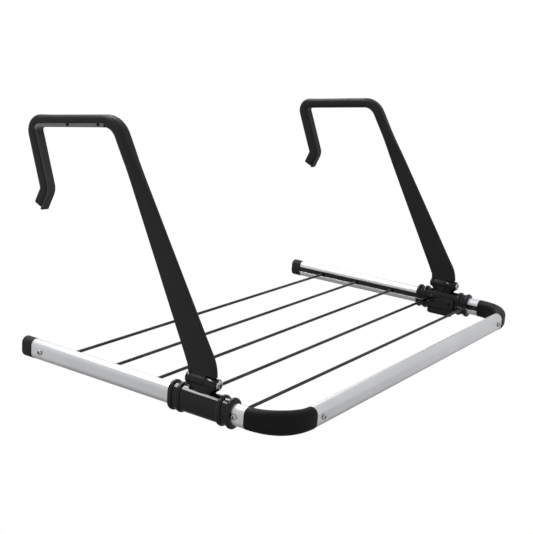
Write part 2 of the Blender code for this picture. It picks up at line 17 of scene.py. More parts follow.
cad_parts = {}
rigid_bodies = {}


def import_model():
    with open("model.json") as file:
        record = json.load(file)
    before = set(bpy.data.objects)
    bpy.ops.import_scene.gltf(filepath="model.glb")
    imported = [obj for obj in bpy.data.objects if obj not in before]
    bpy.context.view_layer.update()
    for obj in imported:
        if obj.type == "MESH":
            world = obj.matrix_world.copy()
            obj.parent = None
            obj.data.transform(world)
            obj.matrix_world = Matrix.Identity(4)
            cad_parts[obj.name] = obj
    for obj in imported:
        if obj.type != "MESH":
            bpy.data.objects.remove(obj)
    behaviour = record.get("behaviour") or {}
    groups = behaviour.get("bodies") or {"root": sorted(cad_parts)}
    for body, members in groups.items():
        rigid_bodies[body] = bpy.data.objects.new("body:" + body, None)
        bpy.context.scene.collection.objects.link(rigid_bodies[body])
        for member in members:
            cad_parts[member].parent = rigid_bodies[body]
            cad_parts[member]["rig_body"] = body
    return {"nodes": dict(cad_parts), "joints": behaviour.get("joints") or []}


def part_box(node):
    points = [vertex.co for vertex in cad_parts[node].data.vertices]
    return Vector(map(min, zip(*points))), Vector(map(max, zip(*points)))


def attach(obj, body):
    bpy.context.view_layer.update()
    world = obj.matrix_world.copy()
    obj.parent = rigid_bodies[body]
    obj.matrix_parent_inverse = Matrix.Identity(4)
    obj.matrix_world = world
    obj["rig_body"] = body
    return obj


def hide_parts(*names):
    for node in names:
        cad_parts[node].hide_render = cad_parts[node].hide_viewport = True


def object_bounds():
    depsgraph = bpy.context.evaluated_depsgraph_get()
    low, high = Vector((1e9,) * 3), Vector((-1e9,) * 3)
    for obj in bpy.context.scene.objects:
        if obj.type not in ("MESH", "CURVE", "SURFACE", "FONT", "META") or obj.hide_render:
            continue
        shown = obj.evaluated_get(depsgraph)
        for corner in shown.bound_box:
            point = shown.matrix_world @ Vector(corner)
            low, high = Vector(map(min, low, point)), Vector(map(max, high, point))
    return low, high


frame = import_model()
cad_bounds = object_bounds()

SIDES = (("left", -1), ("right", 1))
BODY_OF = {name: node["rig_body"] for name, node in frame["nodes"].items()}
HINGE_OF = {joint["child"]: Vector(joint["pos_m"]) for joint in frame["joints"]}


def box_centre(node):
    low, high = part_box(node)
    return (low + high) / 2


def box_size(node):
    low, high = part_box(node)
    return high - low


# Places and sizes that the CAD model gives.
ORIGIN = Vector((0, box_centre("front_tube").y, box_centre("rod_1").z))
SIDE_X = box_centre("side_tube_right").x
TUBE_HALF_W = box_size("front_tube").y / 2
TUBE_HALF_H = box_size("front_tube").z / 2
TUBE_START_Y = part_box("side_tube_right")[0].y - ORIGIN.y
TUBE_END_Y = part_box("side_tube_right")[1].y - ORIGIN.y
FRONT_HALF_X = box_size("front_tube").x / 2
CAP_END_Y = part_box("end_cap_right")[1].y - ORIGIN.y
ROD_RADIUS = box_size("rod_1").z / 2
ROD_HALF_LENGTH = box_size("rod_1").x / 2
ROD_NODES = sorted(name for name in frame["nodes"] if name.startswith("rod_") and name[-1].isdigit())
ROD_YS = [box_centre(node).y - ORIGIN.y for node in ROD_NODES]
STRIP_FACE = SIDE_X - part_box("rod_strip_right")[0].x
STRIP_HALF_H = box_size("rod_strip_right").z / 2
HINGE_Y = HINGE_OF["left_arm"].y - ORIGIN.y
HINGE_Z = HINGE_OF["left_arm"].z - ORIGIN.z

# Clearance between pieces, and the proud step of the plastic mouldings over the tube.
GAP = 0.0003
MOULDING_PROUD = 0.0003

# Tube.
BORE_HALF_W = 0.0042
BORE_HALF_H = 0.0082
GROOVE_FLOOR = 0.0050
GROOVE_HALF_H = STRIP_HALF_H + GAP
GROOVE_LIP = 0.0003
CUT_ROUNDING = 0.00025
CUT_OVERRUN = 0.01
SPIGOT_LENGTH = 0.013
SPIGOT_ROOT = 0.002
CAP_SPIGOT_EXTRA = 0.003
ELBOW_BULGE = 0.0008
ELBOW_STEPS = 40
ELBOW_RIM = 0.0006
CAP_OPEN_RIM = 0.0005
CAP_FACE_RIM = 0.0022
CAP_FACE_CHAMFER = (0.0003, 0.0032)

# Rods and the strip that holds them.
ROD_END_ROUNDING = 0.0003
ROD_HOLE_REACH = (0.009, 0.001)
STRIP_BEVEL = 0.0003
STRIP_CHANNEL_SHARE = 0.62
STRIP_CHANNEL_DEPTH = 0.0002
COUNTERSINK = 0.0009
COUNTERSINK_START = 0.0006

# Collar and its clamp plate.
COLLAR_HALF_W = 0.0085
COLLAR_HALF_H = 0.0129
COLLAR_BORE_GAP = 0.00035
COLLAR_BORE_Y = (0.04, 0.14)
COLLAR_SLOT_HALF_H = 0.0034
COLLAR_SLOT_X = (0.002, 0.014)
RIB_CENTRES_Y = (0.0567, 0.0673, 0.1143, 0.1235)
RIB_HALF_LENGTH = 0.0024
RIB_RISE_W = 0.0016
RIB_RISE_H = 0.0018
RIB_STEPS = 16
PLATE_Y = (0.0725, 0.1062)
PLATE_THICKNESS = 0.0014
PLATE_TOP_Z = 0.0060
PLATE_BEND_Z = -0.0085
PLATE_LIP_Z = -0.0172
PLATE_LIP_PROUD = 0.0022
PLATE_SHOULDER = 0.0011
PLATE_END_ROUNDING = 0.0026
PLATE_TOP_ROUNDING = 0.0010
PLATE_EDGE_ROUNDING = 0.0004
TONGUE_INSET_Y = 0.001
TONGUE_CLEAR_OF_STRIP = 0.0005
TONGUE_INTO_PLATE = 0.001
CLAMP_HOLE_REACH = 0.004

# Hinge.
BARREL_RADIUS = 0.0055
BARREL_ROUNDING = 0.0005
KNUCKLE_ROUNDING = 0.0003
PIN_RADIUS = 0.0020
PIN_HOLE_RADIUS = PIN_RADIUS + GAP
PIN_HOLE_Y = (0.06, 0.12)
FRONT_EAR_Y = (0.0743, 0.0875)
KNUCKLE_Y = (0.0878, 0.1044)
BACK_EAR_Y = (0.1047, 0.1094)
# Foot of the hinge, from the collar up: height, half width, the two ends along Y, and how square it is.
BOSS_LEVELS = (
    (0.0075, 0.0050, 0.0795, 0.1030, 2.0),
    (0.0130, 0.0050, 0.0778, 0.1052, 2.2),
    (0.0160, 0.0050, 0.0755, 0.1082, 3.0),
    (0.0188, 0.0050, 0.0746, 0.1090, 5.0),
)
BOSS_STEPS = 14
NUT_RADIUS = 0.0036
NUT_HEIGHT = 0.0023
NUT_CHAMFER = 0.0004
NUT_CHAMFER_SHARES = (0.86, 1.02)
NUT_POCKET_END_Y = 0.115

# Arm centre line in its own plane, as (y, z), and the section along it.
ARM_LEAN = math.radians(1.9)
ARM_LINE = (
    (0.0934, 0.0277),
    (0.0934, 0.0345),
    (0.211995, 0.242013),
    (0.32248, 0.22997),
    (0.29885, 0.16605),
    (0.30634, 0.14999),
)
ARM_CORNER_RADII = (0.024, 0.022, 0.0093, 0.008)
HOOK_THICKNESS = 0.0118
LEG_WIDTH = 0.0141
# Distance from the hinge end, width in the arm's plane, and thickness along X.
ARM_SECTIONS = (
    (0.000, 0.0331, 0.0046),
    (0.018, 0.0300, 0.0046),
    (0.071, 0.0261, 0.0042),
    (0.116, 0.0225, 0.0043),
    (0.156, 0.0191, 0.0050),
    (0.171, 0.0174, 0.0064),
    (0.186, 0.0144, 0.0100),
    (0.202, 0.0125, 0.0126),
    (0.216, HOOK_THICKNESS, 0.0140),
    (0.270, HOOK_THICKNESS, 0.0138),
    (0.338, HOOK_THICKNESS, 0.0126),
    (0.356, LEG_WIDTH, 0.0124),
    (0.430, LEG_WIDTH, 0.0120),
)
SECTION_BLUR = 0.010
SECTION_STEP = 0.004
EDGE_ROUNDING = 0.36
# Web between the arm and its knuckle: share of the height to the arm's first point, and flare along X.
WEB_LEVELS = ((0.0, 0.0012), (0.6, 0.0006), (1.0, 0.0001))
WEB_INTO_ARM = 0.002
WEB_INSET = 0.0001

# Grip pad in the hook.
PAD_BAR_THICKNESS = 0.0041
PAD_LEG_THICKNESS = 0.0026
PAD_WALL = 0.0024
PAD_RECESS = 0.0004
PAD_TIP_OVERHANG = 0.0020
PAD_LEAD = 0.0038
PAD_CHAMFER = 0.0004
PAD_GROOVE_DEPTH = 0.0003
PAD_GROOVE_SHARES = (0.68, 0.34)
PAD_GROOVE_HALF_WIDTHS = (0.0006, 0.0003)
CHANNEL_PAST_FACE = 0.0015
CHANNEL_PAST_SIDE = 0.006
CHANNEL_PAST_TIP = 0.006
PAD_HOLE_REACH = (0.0065, 0.0085)

# Screws: head radius, head height, shank radius and shank length.
FRAME_SCREW = (0.0028, 0.0018, 0.0012, 0.0052)
CLAMP_SCREW = (0.0023, 0.0015, 0.0011, 0.0034)
PAD_SCREW = (0.0017, 0.0006, 0.0008, 0.0116)
HINGE_SCREW = (0.0044, 0.0016, PIN_RADIUS, BACK_EAR_Y[1] - FRONT_EAR_Y[0] + GAP)
THREAD_PITCH = 0.0007
THREAD_DEPTH = 0.00018
FRAME_HOLE_REACH = 0.0035
HOLE_STEPS = 24
# Cross recess: share of its full size and share of the head's height, from its floor up.
RECESS_LEVELS = ((0.45, 0.22), (0.78, 0.62), (1.0, 1.5))
RECESS_ARM = 0.60
RECESS_HALF_WIDTH = 0.13
RECESS_WEB = 1.35

# Camera and stage.
CAMERA_PLACE = Vector((-0.95277, -0.71006, 0.11920))
CAMERA_AZIMUTH = math.radians(55.905)
CAMERA_PITCH = math.radians(-13.896)
CAMERA_ROLL = math.radians(3.723)
CAMERA_LENS = 69.856
SENSOR = 36.0
FLOOR_DROP = 0.30
FLOOR_SIZE = 60.0
# The floor's light on the rack, near it and far from it, and the distances where those are reached.
NEAR_FLOOR_GLOW = 0.28
FAR_FLOOR_GLOW = 0.66
GLOW_DISTANCES = (0.35, 1.30)
ROOM_LIGHT = 0.66
PANEL_OFFSET = Vector((0.0, 0.84, 1.16))
PANEL_SIZE = (2.0, 0.17)
PANEL_RADIANCE = 14.0
PANEL_COLOUR = (0.97, 0.985, 1.0)

ROUND_STEPS = 48
OVAL_STEPS = 24
SHARP_ANGLE = math.radians(32)


# --- Mesh tools -------------------------------------------------------------------------------------


def skin(rings):
    """A closed body over rings that all have the same number of points."""
    shape = bmesh.new()
    rows = [[shape.verts.new(point) for point in ring] for ring in rings]
    count = len(rows[0])
    for near, far in zip(rows, rows[1:]):
        for i in range(count):
            j = (i + 1) % count
            shape.faces.new((near[i], near[j], far[j], far[i]))
    shape.faces.new(rows[0])
    shape.faces.new(rows[-1])
    bmesh.ops.recalc_face_normals(shape, faces=shape.faces)
    return shape


def new_object(name, shape, matrix):
    mesh = bpy.data.meshes.new(name)
    shape.to_mesh(mesh)
    shape.free()
    obj = bpy.data.objects.new(name, mesh)
    bpy.context.scene.collection.objects.link(obj)
    obj.matrix_world = matrix
    return obj


def settle(obj):
    """Bakes an object's modifiers into its mesh."""
    bpy.context.view_layer.update()
    evaluated = obj.evaluated_get(bpy.context.evaluated_depsgraph_get())
    mesh = bpy.data.meshes.new_from_object(evaluated)
    obj.modifiers.clear()
    old = obj.data
    obj.data = mesh
    bpy.data.meshes.remove(old)


def combine(obj, operation, *shapes):
    """Adds shapes to an object, cuts them from it, or keeps what they share."""
    for shape in shapes:
        tool = new_object("tool", shape, obj.matrix_world)
        modifier = obj.modifiers.new("tool", "BOOLEAN")
        modifier.operation = operation
        modifier.solver = "EXACT"
        modifier.object = tool
        settle(obj)
        bpy.data.objects.remove(tool)


def soften(obj, width, segments=2, angle=40):
    """Rounds an object's sharp edges."""
    modifier = obj.modifiers.new("soften", "BEVEL")
    modifier.width = width
    modifier.segments = segments
    modifier.limit_method = "ANGLE"
    modifier.angle_limit = math.radians(angle)
    modifier.use_clamp_overlap = True
    modifier.miter_outer = "MITER_ARC"
    settle(obj)


def turned(shape, matrix):
    bmesh.ops.transform(shape, matrix=matrix, verts=shape.verts)
    bmesh.ops.recalc_face_normals(shape, faces=shape.faces)
    return shape


def axis_matrix(origin, direction):
    """Carries +Z to a direction and the origin to a point."""
    turn = Vector((0, 0, 1)).rotation_difference(Vector(direction)).to_matrix().to_4x4()
    return Matrix.Translation(Vector(origin)) @ turn


def oval(half_w, half_h, steps=OVAL_STEPS):
    """Outline with half-round top and bottom and straight sides, as (across, up) pairs."""
    straight = half_h - half_w
    points = []
    for start, centre in ((0.0, straight), (math.pi, -straight)):
        for i in range(steps + 1):
            angle = start + math.pi * i / steps
            points.append((half_w * math.cos(angle), centre + half_w * math.sin(angle)))
    return points


def rounded_rectangle(half_a, half_b, radius, steps=7):
    points = []
    for quarter, (sign_a, sign_b) in enumerate(((1, 1), (-1, 1), (-1, -1), (1, -1))):
        for i in range(steps + 1):
            angle = math.pi / 2 * (quarter + i / steps)
            a = sign_a * (half_a - radius) + radius * math.cos(angle)
            b = sign_b * (half_b - radius) + radius * math.sin(angle)
            points.append((a, b))
    return points


def squircle(half_a, half_b, power, steps=64):
    """An ellipse at power 2 that grows squarer with the power."""
    points = []
    for i in range(steps):
        turn = 2 * math.pi * i / steps
        a = math.copysign(abs(math.cos(turn)) ** (2 / power), math.cos(turn))
        b = math.copysign(abs(math.sin(turn)) ** (2 / power), math.sin(turn))
        points.append((half_a * a, half_b * b))
    return points


def along_y(outline, x, y0, y1):
    return skin([[Vector((x + a, y, b)) for a, b in outline] for y in (y0, y1)])


def along_x(outline, y, x0, x1):
    return skin([[Vector((x, y + a, b)) for a, b in outline] for x in (x0, x1)])


def revolved(profile, steps=ROUND_STEPS):
    """Turns (radius, height) pairs about +Z."""
    rings = []
    for radius, height in profile:
        turns = [2 * math.pi * i / steps for i in range(steps)]
        rings.append([Vector((radius * math.cos(t), radius * math.sin(t), height)) for t in turns])
    return skin(rings)


def rim(radius, steps=4):
    """(distance past the end, inset) pairs of a rounded rim, from the end inwards."""
    angles = [math.pi / 2 * i / steps for i in range(steps + 1)]
    return [(radius * (1 - math.cos(a)), radius * (1 - math.sin(a))) for a in angles]


def rounded_ends(start, end, radius, steps=4):
    """(place, inset) pairs along a bar whose two ends are rounded."""
    near = [(start + d, inset) for d, inset in rim(radius, steps)]
    far = [(end - d, inset) for d, inset in reversed(rim(radius, steps))]
    return near + far


def rod_shape(radius, start, end, steps=ROUND_STEPS, rounding=0.0):
    """Round bar between two points."""
    start = Vector(start)
    length = (Vector(end) - start).length
    profile = ((radius, 0.0), (radius, length))
    if rounding:
        profile = [(radius - inset, place) for place, inset in rounded_ends(0.0, length, rounding)]
    return turned(revolved(profile, steps), axis_matrix(start, Vector(end) - start))


def show(node, obj, mat, sharp=SHARP_ANGLE):
    """Lets a finished piece stand for its CAD node."""
    obj.name = f"fine_{node}"
    obj.data.materials.clear()
    obj.data.materials.append(mat)
    obj.data.shade_smooth()
    obj.data.set_sharp_from_angle(angle=sharp)
    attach(obj, BODY_OF[node])
    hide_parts(node)


# --- Materials --------------------------------------------------------------------------------------


def new_material(name, metallic, specular):
    mat = bpy.data.materials.new(name)
    mat.use_nodes = True
    shader = mat.node_tree.nodes["Principled BSDF"]
    shader.inputs["Metallic"].default_value = metallic
    shader.inputs["Specular IOR Level"].default_value = specular
    return mat, shader


def noise(mat, scale, detail=3.0, stretch=(1, 1, 1), roughness=0.5):
    """Noise in the piece's own coordinates; a small stretch draws it out along that axis."""
    nodes, links = mat.node_tree.nodes, mat.node_tree.links
    place = nodes.new("ShaderNodeTexCoord")
    mapping = nodes.new("ShaderNodeMapping")
    mapping.inputs["Scale"].default_value = stretch
    texture = nodes.new("ShaderNodeTexNoise")
    texture.inputs["Scale"].default_value = scale
    texture.inputs["Detail"].default_value = detail
    texture.inputs["Roughness"].default_value = roughness
    links.new(place.outputs["Object"], mapping.inputs["Vector"])
    links.new(mapping.outputs["Vector"], texture.inputs["Vector"])
    return texture.outputs["Fac"]


def ramp(mat, value, stops):
    """Maps a value to colours given as (place, colour) stops."""
    node = mat.node_tree.nodes.new("ShaderNodeValToRGB")
    elements = node.color_ramp.elements
    for element, (place, colour) in zip(elements, stops):
        element.position = place
        element.color = (*colour, 1.0)
    for place, colour in stops[2:]:
        elements.new(place).color = (*colour, 1.0)
    mat.node_tree.links.new(value, node.inputs["Fac"])
    return node.outputs["Color"]


def spread(mat, value, low, high, start=0.3, end=0.7):
    """Maps a value from start..end to low..high."""
    node = mat.node_tree.nodes.new("ShaderNodeMapRange")
    for name, setting in (("From Min", start), ("From Max", end), ("To Min", low), ("To Max", high)):
        node.inputs[name].default_value = setting
    mat.node_tree.links.new(value, node.inputs["Value"])
    return node.outputs["Result"]


def bump(mat, height, depth, below=None):
    """Relief of a given depth in metres, on top of another relief where one is given."""
    node = mat.node_tree.nodes.new("ShaderNodeBump")
    node.inputs["Strength"].default_value = 1.0
    node.inputs["Distance"].default_value = depth
    mat.node_tree.links.new(height, node.inputs["Height"])
    if below is not None:
        mat.node_tree.links.new(below, node.inputs["Normal"])
    return node.outputs["Normal"]


def wire(mat, source, shader, socket):
    mat.node_tree.links.new(source, shader.inputs[socket])


def aluminium_material(name, along):
    """Satin anodised extrusion: faint die lines along the tube and a fine frosted grain."""
    mat, shader = new_material(name, 1.0, 0.5)
    stretch = [1.0, 1.0, 1.0]
    stretch[along] = 0.006
    lines = noise(mat, 2600, 3.0, stretch)
    grain = noise(mat, 5200, 2.0)
    cloud = noise(mat, 22, 4.0)
    tints = ((0.30, (0.780, 0.790, 0.810)), (0.70, (0.850, 0.860, 0.880)))
    wire(mat, ramp(mat, cloud, tints), shader, "Base Color")
    wire(mat, spread(mat, lines, 0.36, 0.44), shader, "Roughness")
    fine = bump(mat, grain, 0.0000015)
    wire(mat, bump(mat, lines, 0.0000025, fine), shader, "Normal")
    return mat


def rod_material():
    """Dark drawn steel with length-wise draw marks and warm brown patches."""
    mat, shader = new_material("dark_drawn_steel", 1.0, 0.5)
    draw = noise(mat, 3800, 3.0, (0.004, 1, 1))
    patches = noise(mat, 95, 5.0, (0.35, 1, 1))
    stops = ((0.30, (0.045, 0.038, 0.033)), (0.55, (0.075, 0.067, 0.060)), (0.80, (0.130, 0.118, 0.108)))
    wire(mat, ramp(mat, patches, stops), shader, "Base Color")
    wire(mat, spread(mat, draw, 0.24, 0.42), shader, "Roughness")
    wire(mat, bump(mat, draw, 0.000008), shader, "Normal")
    return mat


def screw_material(name, tarnished, plain, bright):
    """Plated steel with turning marks and small tarnished spots."""
    mat, shader = new_material(name, 1.0, 0.5)
    spots = noise(mat, 900, 4.0)
    marks = noise(mat, 6500, 2.0)
    stops = ((0.34, tarnished), (0.52, plain), (0.72, bright))
    wire(mat, ramp(mat, spots, stops), shader, "Base Color")
    wire(mat, spread(mat, spots, 0.26, 0.10), shader, "Roughness")
    wire(mat, bump(mat, marks, 0.000005), shader, "Normal")
    return mat


def moulded_material(name, dark, light, roughness, specular, grain_scale, grain_depth):
    """Black moulded plastic: a moulded grain, slow ripples of the surface and faint dusty patches."""
    mat, shader = new_material(name, 0.0, specular)
    grain = noise(mat, grain_scale, 4.0)
    ripple = noise(mat, 60, 2.0)
    dust = noise(mat, 210, 6.0, roughness=0.65)
    wire(mat, ramp(mat, dust, ((0.35, dark), (0.72, light))), shader, "Base Color")
    wire(mat, spread(mat, dust, *roughness), shader, "Roughness")
    slow = bump(mat, ripple, 0.00004)
    wire(mat, bump(mat, grain, grain_depth, slow), shader, "Normal")
    return mat


def pad_material():
    """Matt rubber with fine specks, and painted light and shade: paler grey on the bar, darker grey down the
    leg.
    """
    mat, shader = new_material("grip_rubber", 0.0, 0.35)
    nodes, links = mat.node_tree.nodes, mat.node_tree.links
    place = nodes.new("ShaderNodeTexCoord")
    split = nodes.new("ShaderNodeSeparateXYZ")
    links.new(place.outputs["Object"], split.inputs["Vector"])
    bar_height = ARM_LINE[3][1] - HINGE_Z
    # Painted light and shade by height: 1 on the bar, 0 down the leg.
    painted_light_share = spread(mat, split.outputs["Z"], 0.0, 1.0, bar_height - 0.0085, bar_height - 0.0045)
    specks = noise(mat, 1300, 5.0, roughness=0.7)
    mix = nodes.new("ShaderNodeMix")
    mix.data_type = "RGBA"
    links.new(painted_light_share, mix.inputs["Factor"])
    # Painted shade: darker grey down the leg.
    links.new(ramp(mat, specks, ((0.32, (0.028, 0.028, 0.030)), (0.75, (0.060, 0.059, 0.060)))),
              mix.inputs[6])
    # Painted light: paler grey on the bar.
    links.new(ramp(mat, specks, ((0.32, (0.120, 0.118, 0.122)), (0.75, (0.225, 0.220, 0.228)))),
              mix.inputs[7])
    wire(mat, mix.outputs[2], shader, "Base Color")
    wire(mat, spread(mat, specks, 0.62, 0.86), shader, "Roughness")
    wire(mat, bump(mat, specks, 0.00009), shader, "Normal")
    return mat


def seen_or_lit(tree, seen, lit, output):
    """Gives the camera one shader of the stage, and the light that falls on the rack another."""
    path = tree.nodes.new("ShaderNodeLightPath")
    mix = tree.nodes.new("ShaderNodeMixShader")
    tree.links.new(path.outputs["Is Camera Ray"], mix.inputs["Fac"])
    tree.links.new(lit, mix.inputs[1])
    tree.links.new(seen, mix.inputs[2])
    tree.links.new(mix.outputs["Shader"], output.inputs["Surface"])


def floor_material():
    """Pale floor, burnt out to paper white for the camera, that lights the rack less from close by."""
    mat, shader = new_material("pale_floor", 0.0, 0.2)
    nodes, links = mat.node_tree.nodes, mat.node_tree.links
    nodes.remove(shader)
    white = nodes.new("ShaderNodeEmission")
    bounce = nodes.new("ShaderNodeEmission")
    bounce.inputs["Color"].default_value = (1.0, 0.995, 0.99, 1.0)
    place = nodes.new("ShaderNodeTexCoord")
    distance = nodes.new("ShaderNodeVectorMath")
    distance.operation = "LENGTH"
    links.new(place.outputs["Object"], distance.inputs[0])
    glow = spread(mat, distance.outputs["Value"], NEAR_FLOOR_GLOW, FAR_FLOOR_GLOW, *GLOW_DISTANCES)
    links.new(glow, bounce.inputs["Strength"])
    seen, lit = white.outputs["Emission"], bounce.outputs["Emission"]
    seen_or_lit(mat.node_tree, seen, lit, nodes["Material Output"])
    return mat


# --- Screws -----------------------------------------------------------------------------------------


def shank_profile(radius, length):
    """Pointed end and thread crests, from the tip up to the head."""
    points = [(radius * 0.35, -length), (radius * 0.8, -length + radius * 0.7)]
    height = -length + radius
    while height < -THREAD_PITCH * 2:
        points.append((radius, height))
        points.append((radius - THREAD_DEPTH, height + THREAD_PITCH / 2))
        height += THREAD_PITCH
    points.append((radius, height))
    points.append((radius, 0.0))
    return points


def head_profile(radius, height):
    """Domed pan head with a rounded edge."""
    points = [(radius * 0.93, 0.0), (radius, height * 0.14), (radius, height * 0.38)]
    for i in range(1, 9):
        angle = math.pi / 2 * i / 8
        share = math.cos(angle) ** 0.75
        points.append((radius * (0.10 + 0.90 * share), height * (0.38 + 0.62 * math.sin(angle))))
    return points


def cross_recess(head_r, head_h):
    """Tapered plus-shaped driver recess."""
    rings = []
    for share, height in RECESS_LEVELS:
        arm = head_r * RECESS_ARM * share
        half = head_r * RECESS_HALF_WIDTH * (0.55 + 0.45 * share)
        web = half * RECESS_WEB
        outline = [
            (arm, -half), (arm, half), (web, web), (half, arm), (-half, arm), (-web, web),
            (-arm, half), (-arm, -half), (-web, -web), (-half, -arm), (half, -arm), (web, -web),
        ]
        rings.append([Vector((a, b, head_h * height)) for a, b in outline])
    return skin(rings)


def paint_recess_shade(screw, head_r, head_h, recess_shade):
    """Gives the walls and floor of a screw's recess painted shade: a second, near-black material where shade
    falls.
    """
    screw.data.materials.append(recess_shade)
    for face in screw.data.polygons:
        inside = face.center.xy.length < head_r * (RECESS_ARM + 0.02) and face.center.z > head_h * 0.1
        if inside and (face.normal.z < 0.5 or face.center.z < head_h * 0.5):
            face.material_index = 1


def build_screw(node, outward, size, mat, recess_shade, turn):
    """A screw in the place of its CAD node, with its recess turned by an angle."""
    head_r, head_h, shank_r, shank_length = size
    profile = shank_profile(shank_r, shank_length) + head_profile(head_r, head_h)
    seat = box_centre(node) - outward * (head_h - shank_length) / 2
    matrix = axis_matrix(seat, outward) @ Matrix.Rotation(turn, 4, "Z")
    screw = new_object(node, revolved(profile), matrix)
    combine(screw, "DIFFERENCE", cross_recess(head_r, head_h))
    show(node, screw, mat)
    # Painted shade: the recess's walls and floor take the near-black second material.
    paint_recess_shade(screw, head_r, head_h, recess_shade)


def build_nut(label, mat):
    """Chamfered hexagon nut round the hinge screw's end."""
    matrix = axis_matrix(box_centre(f"hinge_nut_{label}"), (0, 1, 0))
    half = NUT_HEIGHT / 2
    nut = new_object("nut", revolved(((NUT_RADIUS, -half), (NUT_RADIUS, half)), 6), matrix)
    end_radius, side_radius = (NUT_RADIUS * share for share in NUT_CHAMFER_SHARES)
    chamfer = revolved(((end_radius, -half), (side_radius, -half + NUT_CHAMFER),
                        (side_radius, half - NUT_CHAMFER), (end_radius, half)))
    combine(nut, "INTERSECT", chamfer)
    combine(nut, "DIFFERENCE", rod_shape(PIN_HOLE_RADIUS, (0, 0, -0.004), (0, 0, 0.004)))
    show(f"hinge_nut_{label}", nut, mat)


# --- Tubes and rods ---------------------------------------------------------------------------------


def screw_hole(node, axis):
    """Cutter for a screw's hole through the wall under its head."""
    spot = box_centre(node) - ORIGIN
    reach = Vector(axis) * FRAME_HOLE_REACH
    return rod_shape(FRAME_SCREW[2] + GAP, spot - reach, spot + reach, HOLE_STEPS)


def build_front_tube(mat):
    rings = []
    for x, inset in rounded_ends(-FRONT_HALF_X, FRONT_HALF_X, CUT_ROUNDING):
        rings.append([Vector((x, a, b)) for a, b in oval(TUBE_HALF_W - inset, TUBE_HALF_H - inset)])
    tube = new_object("tube", skin(rings), Matrix.Translation(ORIGIN))
    reach = FRONT_HALF_X + CUT_OVERRUN
    bore = along_x(oval(BORE_HALF_W, BORE_HALF_H), 0.0, -reach, reach)
    holes = [screw_hole(f"front_screw_{label}", (0, 1, 0)) for label, _ in SIDES]
    combine(tube, "DIFFERENCE", bore, *holes)
    show("front_tube", tube, mat)


def groove_shape(side):
    """Cutter for the groove along a side tube's inner face, with flared lips."""
    outline = []
    for depth, half in ((GROOVE_FLOOR, GROOVE_HALF_H), (TUBE_HALF_W - GROOVE_LIP, GROOVE_HALF_H),
                        (TUBE_HALF_W + 0.001, GROOVE_HALF_H + GROOVE_LIP + 0.001)):
        outline.append((-side * depth, half))
        outline.insert(0, (-side * depth, -half))
    return along_y(outline, side * SIDE_X, TUBE_START_Y - CUT_OVERRUN, TUBE_END_Y + CUT_OVERRUN)


def build_side_tube(label, side, mat):
    x = side * SIDE_X
    rings = []
    for y, inset in rounded_ends(TUBE_START_Y, TUBE_END_Y, CUT_ROUNDING):
        rings.append([Vector((x + a, y, b)) for a, b in oval(TUBE_HALF_W - inset, TUBE_HALF_H - inset)])
    tube = new_object("tube", skin(rings), Matrix.Translation(ORIGIN))
    bore = oval(BORE_HALF_W, BORE_HALF_H)
    bore = along_y(bore, x, TUBE_START_Y - CUT_OVERRUN, TUBE_END_Y + CUT_OVERRUN)
    holes = [screw_hole(f"{name}_screw_{label}", (1, 0, 0)) for name in ("corner", "cap")]
    reach = [side * (SIDE_X - depth) for depth in ROD_HOLE_REACH]
    for y in ROD_YS:
        holes.append(rod_shape(ROD_RADIUS + GAP, (reach[0], y, 0), (reach[1], y, 0), HOLE_STEPS))
    combine(tube, "DIFFERENCE", bore, groove_shape(side), *holes)
    show(f"side_tube_{label}", tube, mat)


def build_rod_strip(label, side, mat):
    """Black strip in the groove: bevelled edges, a shallow channel and a countersunk hole for each rod."""
    x = side * SIDE_X
    floor = GROOVE_FLOOR + GAP
    channel_half = STRIP_HALF_H * STRIP_CHANNEL_SHARE
    outline = []
    for depth, half in ((floor, STRIP_HALF_H), (STRIP_FACE - STRIP_BEVEL, STRIP_HALF_H),
                        (STRIP_FACE, STRIP_HALF_H - STRIP_BEVEL),
                        (STRIP_FACE, channel_half + STRIP_CHANNEL_DEPTH),
                        (STRIP_FACE - STRIP_CHANNEL_DEPTH, channel_half)):
        outline.append((-side * depth, half))
        outline.insert(0, (-side * depth, -half))
    strip = new_object("strip", along_y(outline, x, TUBE_START_Y, TUBE_END_Y), Matrix.Translation(ORIGIN))
    holes = []
    radius = ROD_RADIUS + GAP / 2
    reach = [x - side * depth for depth in ROD_HOLE_REACH]
    mouth = ((radius, 0.0), (ROD_RADIUS + COUNTERSINK, COUNTERSINK))
    for y in ROD_YS:
        holes.append(rod_shape(radius, (reach[0], y, 0), (reach[1], y, 0), HOLE_STEPS))
        start = (x - side * (STRIP_FACE - COUNTERSINK_START), y, 0)
        holes.append(turned(revolved(mouth, HOLE_STEPS), axis_matrix(start, (-side, 0, 0))))
    combine(strip, "DIFFERENCE", *holes)
    show(f"rod_strip_{label}", strip, mat)


def build_rods(mat):
    for node, y in zip(ROD_NODES, ROD_YS):
        ends = ((-ROD_HALF_LENGTH, y, 0), (ROD_HALF_LENGTH, y, 0))
        rod = new_object(node, rod_shape(ROD_RADIUS, *ends, 32, ROD_END_ROUNDING), Matrix.Translation(ORIGIN))
        show(node, rod, mat)


# --- Mouldings --------------------------------------------------------------------------------------


